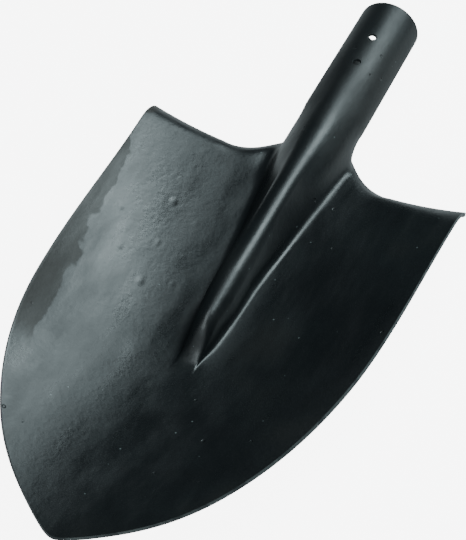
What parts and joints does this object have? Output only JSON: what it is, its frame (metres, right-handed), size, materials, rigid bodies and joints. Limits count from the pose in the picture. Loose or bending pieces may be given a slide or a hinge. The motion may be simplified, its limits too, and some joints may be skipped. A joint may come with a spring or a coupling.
{
  "type": "round point shovel head",
  "caption": "Round point shovel head: dished steel blade with a central ridge, turned-back treads and a tubular handle socket.",
  "frame": {"origin": "centre of the socket's mouth, on the socket's axis", "axes": "+Y out of the socket's mouth along its axis, -Y towards the tip, +Z the front, hollow side of the blade, X across the blade, which is symmetric about X = 0"},
  "size_m": [0.209, 0.444, 0.0644],
  "materials": {
    "black_paint": "semi-gloss black paint over pressed steel",
    "painted_weld": "semi-gloss black paint over a weld bead"
  },
  "bodies": {
    "root": {"head_pressing": "black_paint", "back_plate": "black_paint", "socket_seam_weld": "painted_weld", "plate_weld": "painted_weld", "socket_end_weld": "painted_weld"}
  },
  "joints": []
}
